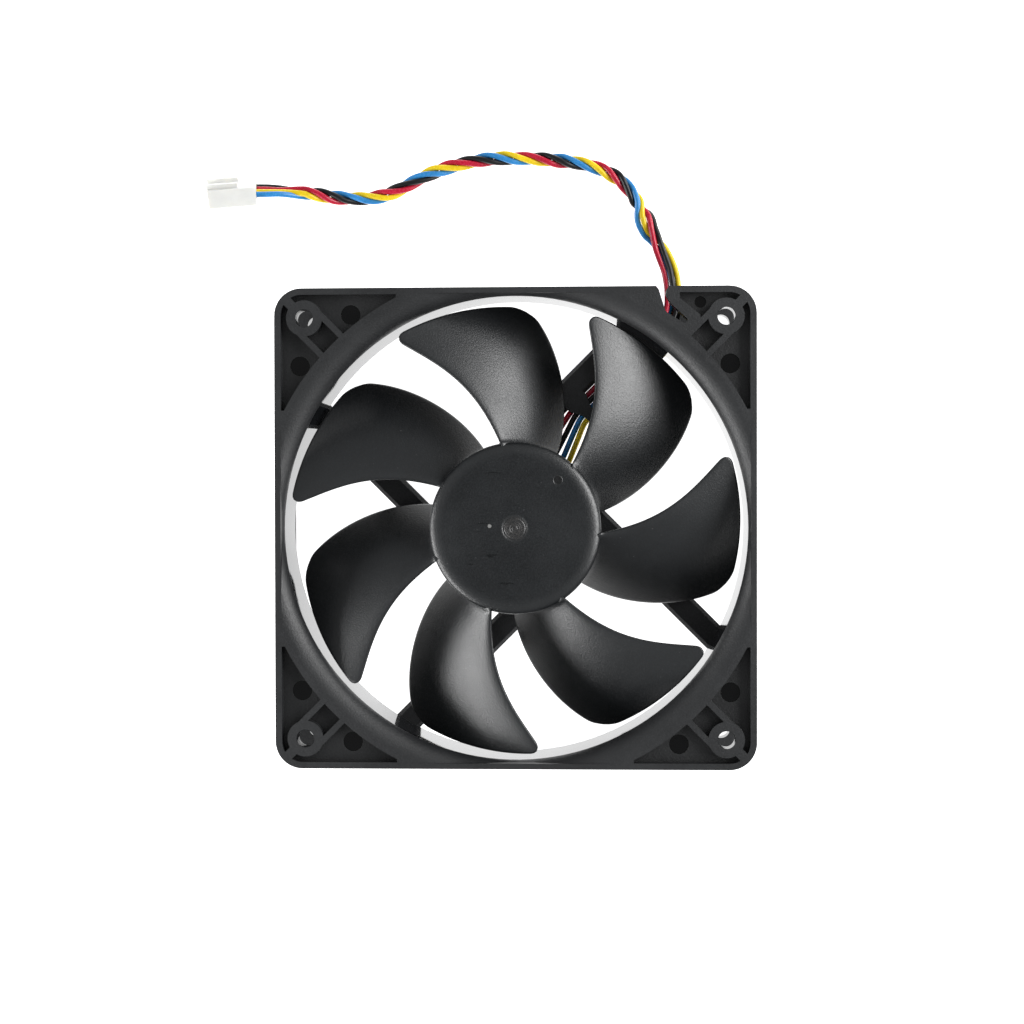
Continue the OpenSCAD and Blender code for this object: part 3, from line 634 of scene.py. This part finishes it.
def shell_of_revolution(outer, inner, segments, verts, faces):
    """Outer profile up to the axis, inner profile from the axis back, joined at the rim."""
    def row(r, z):
        if r < 1e-9:
            verts.append(Vector((0, 0, z)) * MM)
            return [len(verts) - 1] * segments
        first = len(verts)
        for j in range(segments):
            w = 2 * PI * j / segments
            verts.append(Vector((r * math.cos(w), r * math.sin(w), z)) * MM)
        return list(range(first, first + segments))
    a = [row(*p) for p in outer]
    b = [row(*p) for p in inner]
    chains = list(zip(a, a[1:])) + list(zip(b, b[1:])) + [(b[-1], a[0])]
    for lo, hi in chains:
        for j in range(segments):
            k = (j + 1) % segments
            q = [lo[j], lo[k], hi[k], hi[j]]
            q = [x for x, y in zip(q, q[1:] + q[:1]) if x != y]
            if len(set(q)) > 2:
                faces.append(tuple(q))


shell_of_revolution(rows_out, rows_in, 192, verts, faces)
for i in range(7):
    blade(i * 360 / 7, verts, faces)
impeller = mesh_object("fan_impeller", verts, faces, [MAT["impeller"]])
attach(impeller, "rotor")
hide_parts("impeller")


# ---------------------------------------------------------------- CAD nodes that stay
def paint(node, material, bevel=0.0, segments=2, flat=0.02):
    o = nodes[node]
    o.data.materials.clear()
    o.data.materials.append(material)
    if bevel:
        w = o.modifiers.new("weld", "WELD")
        w.merge_threshold = 0.000002
        d = o.modifiers.new("flats", "DECIMATE")
        d.decimate_type = "DISSOLVE"
        d.angle_limit = flat
        d.delimit = {"SHARP"}
        b = o.modifiers.new("edge", "BEVEL")
        b.width = bevel
        b.segments = segments
        b.limit_method = "ANGLE"
        b.angle_limit = math.radians(32)
        b.use_clamp_overlap = True
        b.harden_normals = True
        b.miter_outer = "MITER_ARC"
        n = o.modifiers.new("normals", "WEIGHTED_NORMAL")
        n.keep_sharp = False
        n.weight = 80


paint("frame", MAT["frame"], 0.00025, 3)
paint("rear_label", MAT["label"])
paint("bearing_tube", MAT["brass"], 0.00015)
paint("sleeve_bearing", MAT["bronze"])
paint("thrust_pad", MAT["nylon"])
paint("oil_seal", MAT["rubber"])
paint("stator_core", MAT["lamination"], 0.0001)
paint("lower_insulator", MAT["insulator"], 0.00012)
paint("upper_insulator", MAT["insulator"], 0.00012)
paint("windings", MAT["copper"], 0.0006, 4)
paint("winding_posts", MAT["tin"])
paint("circuit_board", MAT["board"])
paint("driver_chip", MAT["chip"], 0.0001)
paint("hall_sensor", MAT["chip"], 0.0001)
paint("board_components", MAT["component"], 0.0001)
paint("connector_housing", MAT["plug"], 0.0002, 3)
paint("crimp_terminals", MAT["tin"], 0.00006)
paint("rotor_yoke", MAT["yoke"], 0.0002)
paint("ring_magnet", MAT["magnet"], 0.00015)
paint("shaft", MAT["shaft"], 0.00012)
paint("shaft_bush", MAT["brass"], 0.00015)
paint("upper_washer", MAT["nylon"])
paint("lower_washer", MAT["nylon"])
paint("retaining_clip", MAT["nylon"])


# ---------------------------------------------------------------- floor and light
floor_mat, nt, b = new_material("floor_white")
co = object_coords(nt)
paper = noise_node(nt, co, 1 / 0.02, 3, 0.5)
nt.links.new(mix_colour(nt, remap(nt, paper, 0.3, 0.7, 0.0, 1.0), (0.9, 0.9, 0.905), (0.925, 0.925, 0.93)), b.inputs["Base Color"])
b.inputs["Roughness"].default_value = 0.6
b.inputs["Specular IOR Level"].default_value = 0.2
b.inputs["Emission Color"].default_value = (1.0, 1.0, 1.0, 1.0)
b.inputs["Emission Strength"].default_value = 1.25
me = bpy.data.meshes.new("floor")
R = 3.0
me.from_pydata([(-R, -R, -0.00012), (R, -R, -0.00012), (R, R, -0.00012), (-R, R, -0.00012)], [], [(0, 1, 2, 3)])
me.materials.append(floor_mat)
floor = bpy.data.objects.new("floor", me)
scene.collection.objects.link(floor)


def softbox(name, at, target, size, radiance, colour=(1, 1, 1)):
    data = bpy.data.lights.new(name, "AREA")
    data.shape = "RECTANGLE"
    data.size, data.size_y = size
    data.energy = radiance * PI * size[0] * size[1]
    data.color = colour
    o = bpy.data.objects.new(name, data)
    scene.collection.objects.link(o)
    o.location = at
    o.rotation_mode = "QUATERNION"
    o.rotation_quaternion = (Vector(target) - Vector(at)).to_track_quat("-Z", "Y")
    return o


softbox("softbox_left", (-0.794, -0.32, 0.278), (0, 0, 0), (1.0, 0.32), 9.5)
softbox("softbox_right", (0.745, 0.2, 0.46), (0, 0, 0), (0.9, 0.42), 8.5)

# A soft pale ceiling that falls off towards the horizon and straight overhead.
world = bpy.data.worlds.new("studio")
scene.world = world
world.use_nodes = True
nt = world.node_tree
background = nt.nodes["Background"]
background.inputs["Color"].default_value = (0.97, 0.985, 1.0, 1.0)
direction = add(nt, "ShaderNodeTexCoord").outputs["Generated"]
height = split(nt, direction)[2]
low_sky = remap(nt, height, 0.06, 0.5, 0.05, 0.375, True)
overhead = remap(nt, height, 0.93, 0.975, 1.0, 0.15, True)
nt.links.new(math_node(nt, "MULTIPLY", low_sky, overhead), background.inputs["Strength"])

scene.view_settings.view_transform = "Standard"
scene.view_settings.look = "None"
